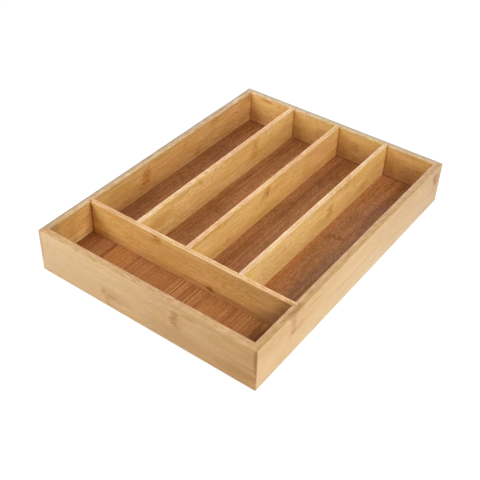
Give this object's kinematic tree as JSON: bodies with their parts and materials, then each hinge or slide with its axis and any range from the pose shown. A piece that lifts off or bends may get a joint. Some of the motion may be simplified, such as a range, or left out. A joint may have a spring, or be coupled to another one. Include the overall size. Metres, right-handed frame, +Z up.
{
  "type": "cutlery tray",
  "caption": "Shallow rectangular bamboo cutlery tray with mitred walls, a darker base, long side-by-side compartments and a crosswise compartment at the front.",
  "frame": {"origin": "middle of the footprint, on the surface that the tray stands on", "axes": "+X along the front wall to the right, +Y from the front wall to the back wall along the long compartments, +Z up"},
  "size_m": [0.26, 0.35, 0.05],
  "materials": {
    "pale_bamboo": "honey-coloured bamboo, fine straight grain, thin satin lacquer",
    "dark_bamboo": "reddish-brown bamboo strips, fine straight grain, thin satin lacquer"
  },
  "bodies": {
    "root": {"front_wall": "pale_bamboo", "back_wall": "pale_bamboo", "left_wall": "pale_bamboo", "right_wall": "pale_bamboo", "base_panel": "dark_bamboo", "cross_divider": "pale_bamboo", "left_divider": "pale_bamboo", "middle_divider": "pale_bamboo", "right_divider": "pale_bamboo"}
  },
  "joints": []
}
